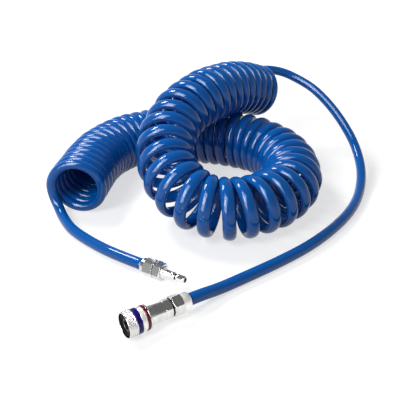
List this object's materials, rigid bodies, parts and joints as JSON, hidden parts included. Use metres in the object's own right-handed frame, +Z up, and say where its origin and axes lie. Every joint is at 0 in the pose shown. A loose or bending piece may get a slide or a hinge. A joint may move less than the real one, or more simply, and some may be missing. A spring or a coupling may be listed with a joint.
{
  "type": "quick disconnect coupler",
  "caption": "Push-to-connect air coupler with a spring-loaded ball-lock sleeve and inner valve, on a recoil hose that ends in its matching plug.",
  "frame": {"origin": "on the surface it lies on, below the middle of the coupler, hose and plug left out", "axes": "+X along the coupler's axis, from its open mouth towards the hose, +Z up"},
  "size_m": [0.4296, 0.3575, 0.1446],
  "materials": {
    "nickel_body": "nickel plate on turned steel, fine tool lines, polished wrench flats",
    "sleeve_nickel": "nickel plate, knurled front half",
    "nut_nickel": "nickel plate, softer sheen",
    "plug_nickel": "nickel plate on hardened steel",
    "nose_black": "black moulded plastic, satin",
    "band_blue": "smooth blue band",
    "ring_red": "dark red anodised colour",
    "spring_steel": "drawn spring wire",
    "ball_steel": "ground and hardened",
    "brass_inner": "turned brass",
    "seal_rubber": "nitrile rubber",
    "hose_blue": "blue polyurethane hose, glossy"
  },
  "bodies": {
    "coupler_body": {"front_body": "nickel_body", "rear_body": "nickel_body", "compression_nut": "nut_nickel", "plug_nut": "plug_nickel", "plug_body": "plug_nickel", "nose_ring": "nose_black", "red_ring": "ring_red", "sleeve_spring": "spring_steel", "valve_spring": "spring_steel", "retaining_ring": "spring_steel", "valve_guide": "brass_inner", "hose_spigot": "brass_inner", "clamp_sleeve": "brass_inner", "plug_clamp_sleeve": "brass_inner", "plug_seal": "seal_rubber", "body_seal": "seal_rubber", "hose_tail_coupler": "hose_blue", "hose_coil": "hose_blue", "hose_tail_plug": "hose_blue"},
    "sleeve": {"locking_sleeve": "sleeve_nickel", "blue_band": "band_blue"},
    "poppet": {"valve_poppet": "brass_inner", "valve_seal": "seal_rubber"},
    "ball_1": {"locking_ball_1": "ball_steel"},
    "ball_2": {"locking_ball_2": "ball_steel"},
    "ball_3": {"locking_ball_3": "ball_steel"},
    "ball_4": {"locking_ball_4": "ball_steel"}
  },
  "joints": [
    {"name": "sleeve_slide", "type": "slide", "parent": "coupler_body", "child": "sleeve", "axis": [1, 0, 0], "range_m": [0, 0.004], "stiffness_N_per_m": 2000, "springref_m": -0.003, "deforming": ["sleeve_spring"]},
    {"name": "valve_slide", "type": "slide", "parent": "coupler_body", "child": "poppet", "axis": [1, 0, 0], "range_m": [0, 0.0033], "stiffness_N_per_m": 1000, "springref_m": -0.004, "deforming": ["valve_spring"]},
    {"name": "ball_1_slide", "type": "slide", "parent": "coupler_body", "child": "ball_1", "axis": [0, 1, 0], "range_m": [0, 0.00105]},
    {"name": "ball_2_slide", "type": "slide", "parent": "coupler_body", "child": "ball_2", "axis": [0, 0, 1], "range_m": [0, 0.00105]},
    {"name": "ball_3_slide", "type": "slide", "parent": "coupler_body", "child": "ball_3", "axis": [0, -1, 0], "range_m": [0, 0.00105]},
    {"name": "ball_4_slide", "type": "slide", "parent": "coupler_body", "child": "ball_4", "axis": [0, 0, -1], "range_m": [0, 0.00105]}
  ],
  "couplings": [
    {"joint": "ball_1_slide", "follows": "sleeve_slide", "ratio": 0.2625},
    {"joint": "ball_2_slide", "follows": "sleeve_slide", "ratio": 0.2625},
    {"joint": "ball_3_slide", "follows": "sleeve_slide", "ratio": 0.2625},
    {"joint": "ball_4_slide", "follows": "sleeve_slide", "ratio": 0.2625}
  ]
}
